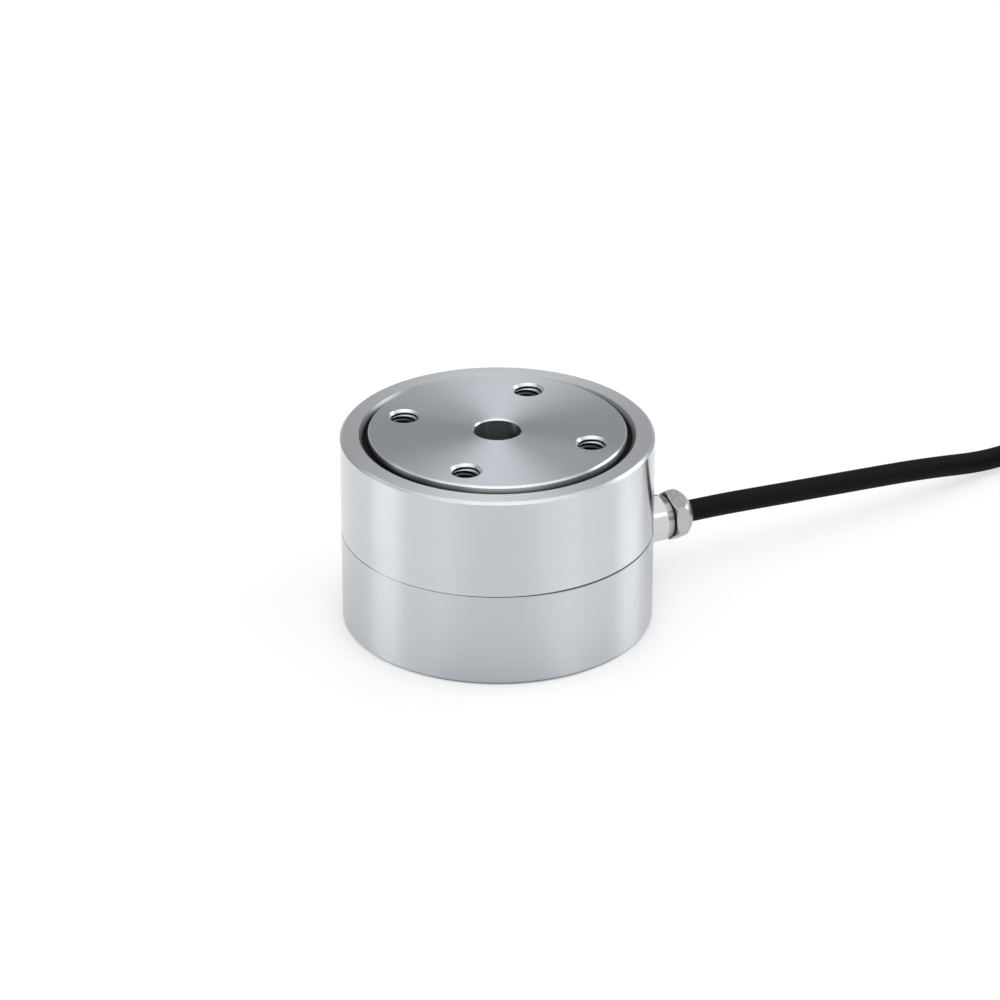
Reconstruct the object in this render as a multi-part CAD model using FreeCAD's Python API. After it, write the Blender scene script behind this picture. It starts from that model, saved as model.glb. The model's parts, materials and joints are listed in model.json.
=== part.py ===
import FreeCAD, Part
import math
import os

# Column load cell in millimetres. The origin is the centre of the underside, +Z is the load axis
# and +X points along the cable gland.

V = FreeCAD.Vector
ORIGIN = V(0, 0, 0)
Z_AXIS = V(0, 0, 1)
FULL_TURN = 360.0

# Body
BODY_R = 40.0
RIM_Z = 51.0
SEAM_Z = 24.7
RIM_CHAMFER = 0.7
RIM_BEVEL = 1.1
BASE_CHAMFER = 0.65
SEAM_GAP = 0.25
SEAM_DEPTH = 0.6

# Spring element: foot, column and load flange turned from one bar
LOAD_FACE_Z = 51.9
FLANGE_R = 32.9
FLANGE_UNDER_Z = 38.0
FLANGE_CHAMFER = 0.45
COLUMN_R = 14.0
COLUMN_FILLET = 3.0
BORE_R = 6.0
BORE_CHAMFER = 0.4
FOOT_R = 33.2
FOOT_TOP_Z = 13.0
FOOT_LIP_R = 36.0
FOOT_LIP_Z = 5.0

# Tapped M8 holes in both faces, drilled to the core diameter; those in the base lie between the others
FLANGE_BOLT_CIRCLE_R = 25.0
BASE_BOLT_CIRCLE_R = 28.0
BOLT_COUNT = 4
FLANGE_BOLT_START = 45.0
BASE_BOLT_START = 0.0
TAP_R = 3.4
TAP_MOUTH_R = 4.15
TAP_DEPTH = 10.0
DRILL_HALF_ANGLE = 59.0

# Joint between the two rings
SPIGOT_R = 37.0
SPIGOT_TOP_Z = 28.2
SPIGOT_CHAMFER = 0.2
SPIGOT_ROOM = 0.5
GROOVE_DEPTH = 1.6
GROOVE_LOW_Z = 25.2
GROOVE_HIGH_Z = 27.4
O_RING_SIDE_GAP = 0.1
SLEEVE_BORE_R = 34.1

# Seal in the gap round the load flange
SEAL_LOW_Z = 44.0
SEAL_HIGH_Z = 49.4
SEAL_HOLLOW = 0.35

# Strain gauges and their terminals, bonded in line with the load flange's bolts
GAUGE_Z = (21.5, 29.5)
GAUGE_THICK = 0.3
GAUGE_SPAN = 24.0
TERMINAL_Z = (17.5, 20.0)
TERMINAL_THICK = 0.5
TERMINAL_SPAN = 20.0

# Balancing board, open towards the gland
BOARD_IN_R = 17.5
BOARD_OUT_R = 31.5
BOARD_LOW_Z = 15.5
BOARD_THICK = 1.6
BOARD_OPENING = 72.0
BOARD_TOP_Z = BOARD_LOW_Z + BOARD_THICK
SCREW_CIRCLE_R = 25.0
SCREW_ANGLES = (60.0, 135.0, 225.0, 300.0)
SCREW_R = 1.25
SCREW_HEAD_R = 2.3
SCREW_HEAD_H = 1.7
SCREW_SOCKET_R = 1.15
SCREW_SOCKET_DEPTH = 1.0
SCREW_GRIP = 4.5
SCREW_HOLE_DEPTH = 5.0
SCREW_CLEAR_R = 1.45
SPACER_R = 2.6
RESISTOR_SIZE = (1.7, 3.4, 0.7)
RESISTOR_ANGLES = (80.0, 97.0, 114.0, 160.0, 200.0, 246.0, 263.0, 280.0)
RESISTOR_CIRCLE_R = 26.0
BRIDGE_WIRE_R = 0.25
BRIDGE_WIRE_BEND = 1.0
BRIDGE_WIRE_SPLAY = 5.0
BRIDGE_WIRE_PAD_R = 19.5

# Cable gland, measured outwards along +X from the load axis
GLAND_Z = 16.2
GLAND_FACE = 39.25
GLAND_FACE_R = 7.5
GLAND_SHANK_R = 5.0
GLAND_SHANK_START = 33.25
GASKET_R = 6.4
GASKET_THICK = 1.0
GLAND_BODY_AF = 12.0
GLAND_BODY_END = 47.2
GLAND_COLLAR_R = 5.65
GLAND_COLLAR_END = 49.1
GLAND_COLLAR_CHAMFER = 0.2
GLAND_NECK_R = 4.8
GLAND_NECK_END = 52.4
GLAND_NECK_CHAMFER = 0.3
GLAND_BORE_R = 3.0
GROMMET_R = 4.0
GROMMET_START = 48.4
GROMMET_END = 52.8
WASHER_R = 4.6
WASHER_THICK = 0.5
GLAND_BODY_ROUND = 1.0
NUT_AF = 12.0
NUT_ROUND = 0.3
NUT_START = 49.3
NUT_SHOULDER = 51.8
NUT_END = 55.2
NUT_MOUTH_R = 4.1
NUT_BULGE = 0.08
NUT_TURN = 8.0
HEX_CHAMFER_ANGLE = 30.0
HEX_CHAMFER_SHARE = 0.96

# Cable
CABLE_R = 2.9
ARC_SHARE = 0.45
ROUTE = (
    V(36.0, 0.0, GLAND_Z),
    V(60.0, 0.0, GLAND_Z),
    V(85.0, 0.7, 14.4),
    V(109.0, 2.9, 12.0),
    V(133.0, 6.7, 8.6),
    V(158.5, 12.2, CABLE_R),
    V(178.0, 17.5, CABLE_R),
)

# Cores inside the housing: start beside the cable's axis, then the route to the board
CORE_R = 0.65
UPPER_CORE = ((29.0, 0.8, 17.0), (25.0, 6.5, 17.75), (18.5, 15.5, 17.75))
LOWER_CORE = ((31.0, 0.8, 15.4), (29.5, 8.0, 17.75), (21.5, 18.5, 17.75))

# Coil of the cable that is put away: rows of turns that lie in each other's valleys
COIL_MEAN_R = 33.0
TURN_PITCH = 5.9
ROW_RISE = 5.06
BOTTOM_TURNS = 5
ENTRY_LENGTH = 23.2
TAIL_ANGLE = 200.0
TIE_ANGLE = 150.0
TIE_WIDTH = 5.0
TIE_THICK = 0.8
TIE_HEAD = (5.0, 3.6)

# Free end: shrink sleeve, flying leads and their tinned tips
END_SLEEVE_R = 2.2
END_SLEEVE_LENGTH = 14.0
END_TRACK_SHIFT = 0.9
LEAD_R = 0.65
LEAD_GAP = 0.1
LEAD_TIP_R = 0.4
LEAD_TIP_LENGTH = 6.0
LEAD_LENGTHS = {
    "lead_red": 34.0,
    "lead_black": 31.0,
    "lead_green": 36.0,
    "lead_white": 33.0,
    "lead_shield": 29.0,
}


def revolved(points, angle=FULL_TURN):
    """Turn a closed outline of (radius, height) points about the Z axis."""
    corners = [V(r, 0, z) for r, z in points]
    outline = Part.makePolygon(corners + corners[:1])
    return Part.Face(outline).revolve(ORIGIN, Z_AXIS, angle)


def turned(shape, angle):
    """A copy turned about the Z axis."""
    copy = shape.copy()
    copy.rotate(ORIGIN, Z_AXIS, angle)
    return copy


def around(shape, angles):
    """Copies of a shape at several angles about the Z axis."""
    return [turned(shape, angle) for angle in angles]


def bolt_angles(start=FLANGE_BOLT_START):
    return [start + k * FULL_TURN / BOLT_COUNT for k in range(BOLT_COUNT)]


def sector(inner_r, outer_r, low, high, span):
    """A curved block centred on the +X direction."""
    outline = [(inner_r, low), (outer_r, low), (outer_r, high), (inner_r, high)]
    return turned(revolved(outline, span), -span / 2)


def circles_at(shape, radius, height):
    """The round edges of a turned piece with this radius at this height."""
    found = []
    for edge in shape.Edges:
        curve = edge.Curve
        if isinstance(curve, Part.Circle) and math.isclose(curve.Radius, radius, abs_tol=1e-4):
            if math.isclose(curve.Center.z, height, abs_tol=1e-4):
                found.append(edge)
    return found


def along_gland(shape):
    """Lay a piece made on the Z axis along the gland."""
    laid = shape.copy()
    laid.rotate(ORIGIN, V(0, 1, 0), 90)
    laid.translate(V(0, 0, GLAND_Z))
    return laid


def rounded_path(points, radius=None):
    """Straight runs joined by tangent arcs, with the arcs' radii."""
    edges = []
    radii = []
    here = points[0]
    for before, corner, after in zip(points, points[1:], points[2:]):
        run_in = corner - before
        run_out = after - corner
        half_turn = run_in.getAngle(run_out) / 2
        if radius is None:
            reach = ARC_SHARE * min(run_in.Length, run_out.Length)
        else:
            reach = radius * math.tan(half_turn)
        bend = reach / math.tan(half_turn)
        run_in.normalize()
        run_out.normalize()
        inward = (run_out - run_in).normalize()
        start = corner - run_in * reach
        middle = corner + inward * bend * (1 / math.cos(half_turn) - 1)
        end = corner + run_out * reach
        edges.append(Part.LineSegment(here, start).toShape())
        edges.append(Part.Arc(start, middle, end).toShape())
        radii.append(bend)
        here = end
    edges.append(Part.LineSegment(here, points[-1]).toShape())
    return Part.Wire(edges), radii


def tube(points, tube_r, radius=None):
    """A round tube along a path, with the path's length and radii."""
    path, radii = rounded_path(points, radius)
    ring = Part.Wire(Part.makeCircle(tube_r, points[0], points[1] - points[0]))
    return path.makePipeShell([ring], True, False), path.Length, radii


def tapped_hole():
    """Cutter for a blind tapped hole that opens upwards at the origin."""
    mouth_depth = TAP_MOUTH_R - TAP_R
    tip = TAP_R / math.tan(math.radians(DRILL_HALF_ANGLE))
    return revolved(
        [
            (0, 0),
            (TAP_MOUTH_R, 0),
            (TAP_R, -mouth_depth),
            (TAP_R, -TAP_DEPTH),
            (0, -TAP_DEPTH - tip),
        ]
    )


def sensing_column():
    """Foot, hollow column and load flange in one piece."""
    column = revolved(
        [
            (BORE_R, BORE_CHAMFER),
            (BORE_R + BORE_CHAMFER, 0),
            (FOOT_LIP_R, 0),
            (FOOT_LIP_R, FOOT_LIP_Z),
            (FOOT_R, FOOT_LIP_Z),
            (FOOT_R, FOOT_TOP_Z),
            (COLUMN_R, FOOT_TOP_Z),
            (COLUMN_R, FLANGE_UNDER_Z),
            (FLANGE_R, FLANGE_UNDER_Z),
            (FLANGE_R, LOAD_FACE_Z - FLANGE_CHAMFER),
            (FLANGE_R - FLANGE_CHAMFER, LOAD_FACE_Z),
            (BORE_R + BORE_CHAMFER, LOAD_FACE_Z),
            (BORE_R, LOAD_FACE_Z - BORE_CHAMFER),
        ]
    )
    corners = circles_at(column, COLUMN_R, FOOT_TOP_Z) + circles_at(column, COLUMN_R, FLANGE_UNDER_Z)
    column = column.makeFillet(COLUMN_FILLET, corners)
    top_hole = tapped_hole()
    top_hole.translate(V(FLANGE_BOLT_CIRCLE_R, 0, LOAD_FACE_Z))
    base_hole = tapped_hole()
    base_hole.rotate(ORIGIN, V(1, 0, 0), 180)
    base_hole.translate(V(BASE_BOLT_CIRCLE_R, 0, 0))
    screw_hole = Part.makeCylinder(
        SCREW_R, SCREW_HOLE_DEPTH, V(SCREW_CIRCLE_R, 0, FOOT_TOP_Z - SCREW_HOLE_DEPTH)
    )
    holes = around(top_hole, bolt_angles()) + around(base_hole, bolt_angles(BASE_BOLT_START))
    return column.cut(holes + around(screw_hole, SCREW_ANGLES))


def base_housing():
    """Lower ring, seated on the foot, with the spigot and the gland's hole."""
    groove_r = SPIGOT_R - GROOVE_DEPTH
    ring = revolved(
        [
            (FOOT_R, FOOT_LIP_Z),
            (FOOT_LIP_R, FOOT_LIP_Z),
            (FOOT_LIP_R, 0),
            (BODY_R - BASE_CHAMFER, 0),
            (BODY_R, BASE_CHAMFER),
            (BODY_R, SEAM_Z),
            (SPIGOT_R, SEAM_Z),
            (SPIGOT_R, GROOVE_LOW_Z),
            (groove_r, GROOVE_LOW_Z),
            (groove_r, GROOVE_HIGH_Z),
            (SPIGOT_R, GROOVE_HIGH_Z),
            (SPIGOT_R, SPIGOT_TOP_Z - SPIGOT_CHAMFER),
            (SPIGOT_R - SPIGOT_CHAMFER, SPIGOT_TOP_Z),
            (FOOT_R, SPIGOT_TOP_Z),
        ]
    )
    gland_hole = Part.makeCylinder(GLAND_SHANK_R, BODY_R)
    spot_face = Part.makeCylinder(GLAND_FACE_R, BODY_R, V(0, 0, GLAND_FACE))
    return ring.cut([along_gland(gland_hole), along_gland(spot_face)])


def upper_sleeve():
    """Upper ring, with a relieved seam and the bevelled rim round the load flange."""
    roof = SPIGOT_TOP_Z + SPIGOT_ROOM
    return revolved(
        [
            (SPIGOT_R, SEAM_Z),
            (BODY_R - SEAM_DEPTH, SEAM_Z),
            (BODY_R - SEAM_DEPTH, SEAM_Z + SEAM_GAP),
            (BODY_R, SEAM_Z + SEAM_GAP),
            (BODY_R, RIM_Z - RIM_CHAMFER),
            (BODY_R - RIM_CHAMFER, RIM_Z),
            (SLEEVE_BORE_R + RIM_BEVEL, RIM_Z),
            (SLEEVE_BORE_R, RIM_Z - RIM_BEVEL),
            (SLEEVE_BORE_R, roof),
            (SPIGOT_R, roof),
        ]
    )


def sleeve_o_ring():
    """O-ring, squeezed flat between the groove's floor and the sleeve."""
    round_r = GROOVE_DEPTH / 2
    inner_r = SPIGOT_R - GROOVE_DEPTH
    low = GROOVE_LOW_Z + O_RING_SIDE_GAP
    high = GROOVE_HIGH_Z - O_RING_SIDE_GAP
    low_in = V(inner_r, 0, low + round_r)
    low_out = V(SPIGOT_R, 0, low + round_r)
    high_out = V(SPIGOT_R, 0, high - round_r)
    high_in = V(inner_r, 0, high - round_r)
    outline = Part.Wire(
        [
            Part.Arc(low_in, V(inner_r + round_r, 0, low), low_out).toShape(),
            Part.LineSegment(low_out, high_out).toShape(),
            Part.Arc(high_out, V(inner_r + round_r, 0, high), high_in).toShape(),
            Part.LineSegment(high_in, low_in).toShape(),
        ]
    )
    return Part.Face(outline).revolve(ORIGIN, Z_AXIS, FULL_TURN)


def flange_seal():
    """Elastomer ring in the flange gap, with a hollowed top."""
    low_in = V(FLANGE_R, 0, SEAL_LOW_Z)
    low_out = V(SLEEVE_BORE_R, 0, SEAL_LOW_Z)
    high_out = V(SLEEVE_BORE_R, 0, SEAL_HIGH_Z)
    high_in = V(FLANGE_R, 0, SEAL_HIGH_Z)
    hollow = V((FLANGE_R + SLEEVE_BORE_R) / 2, 0, SEAL_HIGH_Z - SEAL_HOLLOW)
    outline = Part.Wire(
        [
            Part.LineSegment(low_in, low_out).toShape(),
            Part.LineSegment(low_out, high_out).toShape(),
            Part.Arc(high_out, hollow, high_in).toShape(),
            Part.LineSegment(high_in, low_in).toShape(),
        ]
    )
    return Part.Face(outline).revolve(ORIGIN, Z_AXIS, FULL_TURN)


def strain_gauges():
    gauge = sector(COLUMN_R, COLUMN_R + GAUGE_THICK, *GAUGE_Z, GAUGE_SPAN)
    return Part.makeCompound(around(gauge, bolt_angles()))


def solder_terminals():
    terminal = sector(COLUMN_R, COLUMN_R + TERMINAL_THICK, *TERMINAL_Z, TERMINAL_SPAN)
    return Part.makeCompound(around(terminal, bolt_angles()))


def bridge_wires():
    """Two fine wires from each terminal, out and down to the board."""
    start_r = COLUMN_R + TERMINAL_THICK
    height = sum(TERMINAL_Z) / 2
    points = [
        V(start_r, 0, height),
        V(BRIDGE_WIRE_PAD_R, 0, height),
        V(BRIDGE_WIRE_PAD_R, 0, BOARD_TOP_Z),
    ]
    wire = tube(points, BRIDGE_WIRE_R, BRIDGE_WIRE_BEND)[0]
    flush = Part.makeCylinder(start_r, LOAD_FACE_Z)
    wire = wire.cut(flush)
    angles = []
    for angle in bolt_angles():
        angles += [angle - BRIDGE_WIRE_SPLAY, angle + BRIDGE_WIRE_SPLAY]
    return Part.makeCompound(around(wire, angles))


def bridge_board():
    """C-shaped board with its screw holes."""
    span = FULL_TURN - BOARD_OPENING
    board = turned(sector(BOARD_IN_R, BOARD_OUT_R, BOARD_LOW_Z, BOARD_TOP_Z, span), 180)
    hole = Part.makeCylinder(SCREW_CLEAR_R, BOARD_TOP_Z, V(SCREW_CIRCLE_R, 0, 0))
    return board.cut(around(hole, SCREW_ANGLES))


def board_spacers():
    height = BOARD_LOW_Z - FOOT_TOP_Z
    foot = V(SCREW_CIRCLE_R, 0, FOOT_TOP_Z)
    spacer = Part.makeCylinder(SPACER_R, height, foot).cut(Part.makeCylinder(SCREW_CLEAR_R, height, foot))
    return Part.makeCompound(around(spacer, SCREW_ANGLES))


def board_screws():
    """Socket screws through the board and spacers into the foot."""
    reach = BOARD_TOP_Z - FOOT_TOP_Z + SCREW_GRIP
    seat = V(SCREW_CIRCLE_R, 0, BOARD_TOP_Z)
    head = Part.makeCylinder(SCREW_HEAD_R, SCREW_HEAD_H, seat)
    shank = Part.makeCylinder(SCREW_R, reach, seat, V(0, 0, -1))
    socket_floor = BOARD_TOP_Z + SCREW_HEAD_H - SCREW_SOCKET_DEPTH
    socket = hexagon(SCREW_SOCKET_R, 0, SCREW_SOCKET_DEPTH, 0)
    socket.translate(V(SCREW_CIRCLE_R, 0, socket_floor))
    return Part.makeCompound(around(head.fuse(shank).cut(socket), SCREW_ANGLES))


def trim_resistors():
    wide, long, high = RESISTOR_SIZE
    corner = V(RESISTOR_CIRCLE_R - wide / 2, -long / 2, BOARD_TOP_Z)
    return Part.makeCompound(around(Part.makeBox(wide, long, high, corner), RESISTOR_ANGLES))


def hexagon(corner_r, low, high, start, round_r=0.0):
    """An upright hexagon prism about the Z axis, with a corner at the start angle."""
    corners = []
    for k in range(6):
        angle = math.radians(start + 60 * k)
        corners.append(V(corner_r * math.cos(angle), corner_r * math.sin(angle), low))
    outline = Part.makePolygon(corners + corners[:1])
    prism = Part.Face(outline).extrude(V(0, 0, high - low))
    if not round_r:
        return prism
    upright = [edge for edge in prism.Edges if math.isclose(edge.Length, high - low, abs_tol=1e-6)]
    return prism.makeFillet(round_r, upright)


def corner_radius(across_flats):
    return across_flats / 2 / math.cos(math.radians(30))


def chamfer_run(across_flats):
    """Radius where a hexagon's end chamfer starts and how far it runs back."""
    start_r = HEX_CHAMFER_SHARE * across_flats / 2
    back = (corner_radius(across_flats) - start_r) * math.tan(math.radians(HEX_CHAMFER_ANGLE))
    return start_r, back


def gland_body():
    """Threaded shank, chamfered hexagon, round collar and threaded neck, bored for the cable."""
    hex_start = GLAND_FACE + GASKET_THICK
    corner_r = corner_radius(GLAND_BODY_AF)
    start_r, back = chamfer_run(GLAND_BODY_AF)
    barrel = revolved(
        [
            (0, hex_start),
            (start_r, hex_start),
            (corner_r, hex_start + back),
            (corner_r, GLAND_BODY_END - back),
            (start_r, GLAND_BODY_END),
            (0, GLAND_BODY_END),
        ]
    )
    head = hexagon(corner_r, hex_start, GLAND_BODY_END, 0, GLAND_BODY_ROUND).common(barrel)
    spindle = revolved(
        [
            (0, GLAND_SHANK_START),
            (GLAND_SHANK_R, GLAND_SHANK_START),
            (GLAND_SHANK_R, hex_start),
            (GLAND_COLLAR_R, hex_start),
            (GLAND_COLLAR_R, GLAND_COLLAR_END - GLAND_COLLAR_CHAMFER),
            (GLAND_COLLAR_R - GLAND_COLLAR_CHAMFER, GLAND_COLLAR_END),
            (GLAND_NECK_R, GLAND_COLLAR_END),
            (GLAND_NECK_R, GLAND_NECK_END - GLAND_NECK_CHAMFER),
            (GLAND_NECK_R - GLAND_NECK_CHAMFER, GLAND_NECK_END),
            (0, GLAND_NECK_END),
        ]
    )
    bore = Part.makeCylinder(GLAND_BORE_R, GLAND_NECK_END)
    seat = Part.makeCylinder(GROMMET_R, GLAND_NECK_END, V(0, 0, GROMMET_START))
    return along_gland(spindle.fuse(head).cut([bore, seat]))


def gland_gasket():
    start = V(0, 0, GLAND_FACE)
    ring = Part.makeCylinder(GASKET_R, GASKET_THICK, start)
    return along_gland(ring.cut(Part.makeCylinder(GLAND_SHANK_R, GASKET_THICK, start)))


def gland_grommet():
    return along_gland(
        revolved(
            [
                (CABLE_R, GROMMET_START),
                (GROMMET_R, GROMMET_START),
                (GROMMET_R, GROMMET_END),
                (CABLE_R, GROMMET_END),
            ]
        )
    )


def gland_washer():
    end = GROMMET_END + WASHER_THICK
    return along_gland(
        revolved(
            [(GLAND_BORE_R, GROMMET_END), (WASHER_R, GROMMET_END), (WASHER_R, end), (GLAND_BORE_R, end)]
        )
    )


def gland_nut():
    """Hexagon nut: chamfered towards the body, domed towards the cable."""
    corner_r = corner_radius(NUT_AF)
    start_r, back = chamfer_run(NUT_AF)
    shoulder = V(corner_r, 0, NUT_SHOULDER)
    mouth = V(NUT_MOUTH_R, 0, NUT_END)
    bulge = V(
        (corner_r + NUT_MOUTH_R) / 2 + (NUT_END - NUT_SHOULDER) * NUT_BULGE,
        0,
        (NUT_SHOULDER + NUT_END) / 2 + (corner_r - NUT_MOUTH_R) * NUT_BULGE,
    )
    near_edge = V(start_r, 0, NUT_START)
    near_corner = V(corner_r, 0, NUT_START + back)
    near_axis = V(0, 0, NUT_START)
    far_axis = V(0, 0, NUT_END)
    outline = Part.Wire(
        [
            Part.LineSegment(near_axis, near_edge).toShape(),
            Part.LineSegment(near_edge, near_corner).toShape(),
            Part.LineSegment(near_corner, shoulder).toShape(),
            Part.Arc(shoulder, bulge, mouth).toShape(),
            Part.LineSegment(mouth, far_axis).toShape(),
            Part.LineSegment(far_axis, near_axis).toShape(),
        ]
    )
    barrel = Part.Face(outline).revolve(ORIGIN, Z_AXIS, FULL_TURN)
    nut = hexagon(corner_r, NUT_START, NUT_END, -NUT_TURN, NUT_ROUND).common(barrel)
    seat_end = GROMMET_END + WASHER_THICK
    thread = Part.makeCylinder(GLAND_NECK_R, seat_end - NUT_START, V(0, 0, NUT_START))
    bore = Part.makeCylinder(GLAND_BORE_R, NUT_END)
    return along_gland(nut.cut([thread, bore]))


def cable_run():
    run, length, radii = tube(list(ROUTE), CABLE_R)
    print("cable arc radii:", [round(radius, 1) for radius in radii])
    swept = math.pi * CABLE_R**2 * length
    print("cable run volume:", round(run.Volume, 1), "section times length:", round(swept, 1))
    return run


def core(route, side):
    """One core from the cable's end to the board, on one side of the gland."""
    points = [V(x, side * y, z) for x, y, z in route]
    start = V(ROUTE[0].x, points[0].y, points[0].z)
    return tube([start] + points, CORE_R)[0]


def coil_heading():
    return (ROUTE[-1] - ROUTE[-2]).normalize()


def coil_centre():
    """Centre of the coil on the floor, to the right of the cable where it arrives."""
    heading = coil_heading()
    to_centre = V(heading.y, -heading.x, 0)
    outer_r = COIL_MEAN_R + (BOTTOM_TURNS - 1) / 2 * TURN_PITCH
    centre = ROUTE[-1] + heading * ENTRY_LENGTH + to_centre * outer_r
    return V(centre.x, centre.y, 0)


def entry_angle():
    """Direction from the coil's centre to the point where the cable joins it."""
    heading = coil_heading()
    return math.degrees(math.atan2(heading.x, -heading.y))


def at_coil(shape, angle):
    """Move a piece made about the Z axis to the coil, turned clockwise from the entry."""
    placed = turned(shape, entry_angle() - angle)
    placed.translate(coil_centre())
    return placed


def row_height(row):
    return CABLE_R + row * ROW_RISE


def bundle_section(tracks, cover=0.0):
    """Outline of the bundle round turns at (pitches from the mean radius, row)."""
    centres = [V(COIL_MEAN_R + place * TURN_PITCH, 0, row_height(row)) for place, row in tracks]
    return Part.Face(Part.makePolygon(centres + centres[:1])).makeOffset2D(CABLE_R + cover)


BUNDLE_WITH_TAIL = ((-2, 0), (2, 0), (0.5, 3), (-0.5, 3))
BUNDLE = ((-2, 0), (2, 0), (1, 2), (0, 2), (-0.5, 3))


def cable_tie():
    """Strap round the bundle, under it too, with its lock on top."""
    reach = 2 * COIL_MEAN_R
    span = math.degrees(TIE_WIDTH / COIL_MEAN_R)
    above_floor = Part.makeBox(reach, 2, reach, V(0, -1, 0))
    above_strap = Part.makeBox(reach, 2, reach, V(0, -1, TIE_THICK))
    outside = bundle_section(BUNDLE_WITH_TAIL, TIE_THICK).common(above_floor)
    inside = bundle_section(BUNDLE_WITH_TAIL).common(above_strap)
    strap = turned(outside.cut(inside).revolve(ORIGIN, Z_AXIS, span), -span / 2)
    wide, high = TIE_HEAD
    top = row_height(3) + CABLE_R
    lock = Part.makeBox(wide, wide, TIE_THICK + high, V(COIL_MEAN_R - wide / 2, -wide / 2, top))
    return at_coil(strap.fuse(lock), TIE_ANGLE)


def cable_coil():
    """Outer shape of the wound cable, with the straight entry and the tie's groove."""
    ring = bundle_section(BUNDLE).revolve(ORIGIN, Z_AXIS, FULL_TURN)
    tail = bundle_section(BUNDLE_WITH_TAIL).revolve(ORIGIN, Z_AXIS, TAIL_ANGLE)
    coil = at_coil(ring.fuse(tail), TAIL_ANGLE)
    entry = Part.makeCylinder(CABLE_R, ENTRY_LENGTH, ROUTE[-1], coil_heading())
    return coil.fuse(entry).removeSplitter().cut(cable_tie())


def bent_rod(rod_r, track_r, height, length, start):
    """A rod bent round the coil's axis, clockwise from a start angle past the entry."""
    ring = Part.Wire(Part.makeCircle(rod_r, V(track_r, 0, height), V(0, 1, 0)))
    span = math.degrees(length / track_r)
    return at_coil(Part.Face(ring).revolve(ORIGIN, Z_AXIS, span), start + span), start + span


def end_track():
    """Radius and floor height of the free track on the coil's top."""
    track_r = COIL_MEAN_R + TURN_PITCH / 2 + END_TRACK_SHIFT
    return track_r, row_height(2) + CABLE_R


def end_sleeve():
    track_r, floor = end_track()
    return bent_rod(END_SLEEVE_R, track_r, floor + END_SLEEVE_R, END_SLEEVE_LENGTH, TAIL_ANGLE)


def flying_leads():
    """The leads, three below and two above, and their tinned tips."""
    track_r, floor = end_track()
    start = end_sleeve()[1]
    pitch = 2 * LEAD_R + LEAD_GAP
    low = floor + LEAD_R
    high = low + pitch * math.sin(math.radians(60))
    places = [(-pitch, low), (0, low), (pitch, low), (-pitch / 2, high), (pitch / 2, high)]
    leads = {}
    tips = []
    for (name, length), (shift, height) in zip(LEAD_LENGTHS.items(), places):
        leads[name], end = bent_rod(LEAD_R, track_r + shift, height, length, start)
        tips.append(bent_rod(LEAD_TIP_R, track_r + shift, height, LEAD_TIP_LENGTH, end)[0])
    leads["lead_tips"] = Part.makeCompound(tips)
    return leads


def all_parts():
    parts = {
        "sensing_column": sensing_column(),
        "base_housing": base_housing(),
        "upper_sleeve": upper_sleeve(),
        "sleeve_o_ring": sleeve_o_ring(),
        "flange_seal": flange_seal(),
        "strain_gauges": strain_gauges(),
        "solder_terminals": solder_terminals(),
        "bridge_wires": bridge_wires(),
        "bridge_board": bridge_board(),
        "board_spacers": board_spacers(),
        "board_screws": board_screws(),
        "trim_resistors": trim_resistors(),
        "gland_body": gland_body(),
        "gland_gasket": gland_gasket(),
        "gland_grommet": gland_grommet(),
        "gland_washer": gland_washer(),
        "gland_nut": gland_nut(),
        "core_red": core(UPPER_CORE, 1),
        "core_black": core(UPPER_CORE, -1),
        "core_green": core(LOWER_CORE, 1),
        "core_white": core(LOWER_CORE, -1),
        "cable_run": cable_run(),
        "cable_coil": cable_coil(),
        "cable_tie": cable_tie(),
        "cable_end_sleeve": end_sleeve()[0],
    }
    parts.update(flying_leads())
    return parts


os.makedirs("parts", exist_ok=True)
for name, shape in all_parts().items():
    if not shape.isValid():
        print("not valid:", name)
    shape.exportStep("parts/" + name + ".step")
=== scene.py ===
import json
import math

import bmesh
import bpy
from bpy.props import FloatProperty, FloatVectorProperty, IntProperty, PointerProperty
from bpy.types import Operator, Panel, PropertyGroup
from mathutils import Matrix, Vector


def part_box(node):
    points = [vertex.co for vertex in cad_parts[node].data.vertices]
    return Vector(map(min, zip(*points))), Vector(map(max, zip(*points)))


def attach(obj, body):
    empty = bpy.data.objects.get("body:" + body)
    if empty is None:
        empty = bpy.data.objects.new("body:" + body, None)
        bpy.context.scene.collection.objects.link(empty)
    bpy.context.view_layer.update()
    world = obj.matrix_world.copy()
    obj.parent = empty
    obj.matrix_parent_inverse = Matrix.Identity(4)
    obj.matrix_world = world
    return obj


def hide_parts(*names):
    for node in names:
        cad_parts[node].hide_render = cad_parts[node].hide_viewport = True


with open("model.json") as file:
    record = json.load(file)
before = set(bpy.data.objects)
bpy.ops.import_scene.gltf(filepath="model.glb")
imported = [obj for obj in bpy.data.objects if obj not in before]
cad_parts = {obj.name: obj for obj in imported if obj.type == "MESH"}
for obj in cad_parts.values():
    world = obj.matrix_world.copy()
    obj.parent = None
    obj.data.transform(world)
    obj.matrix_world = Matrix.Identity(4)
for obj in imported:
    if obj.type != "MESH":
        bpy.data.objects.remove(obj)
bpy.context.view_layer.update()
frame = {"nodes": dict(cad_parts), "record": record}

bl_info = {
    "name": "Column Load Cell",
    "version": (1, 0, 0),
    "blender": (4, 5, 0),
    "location": "View3D > Sidebar > Load Cell",
    "description": "Finishes, threads, cable and studio of a round steel column load cell",
    "category": "Object",
}

MM = 0.001
BODY = "root"
SHARP_EDGE = math.radians(40.0)

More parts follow.
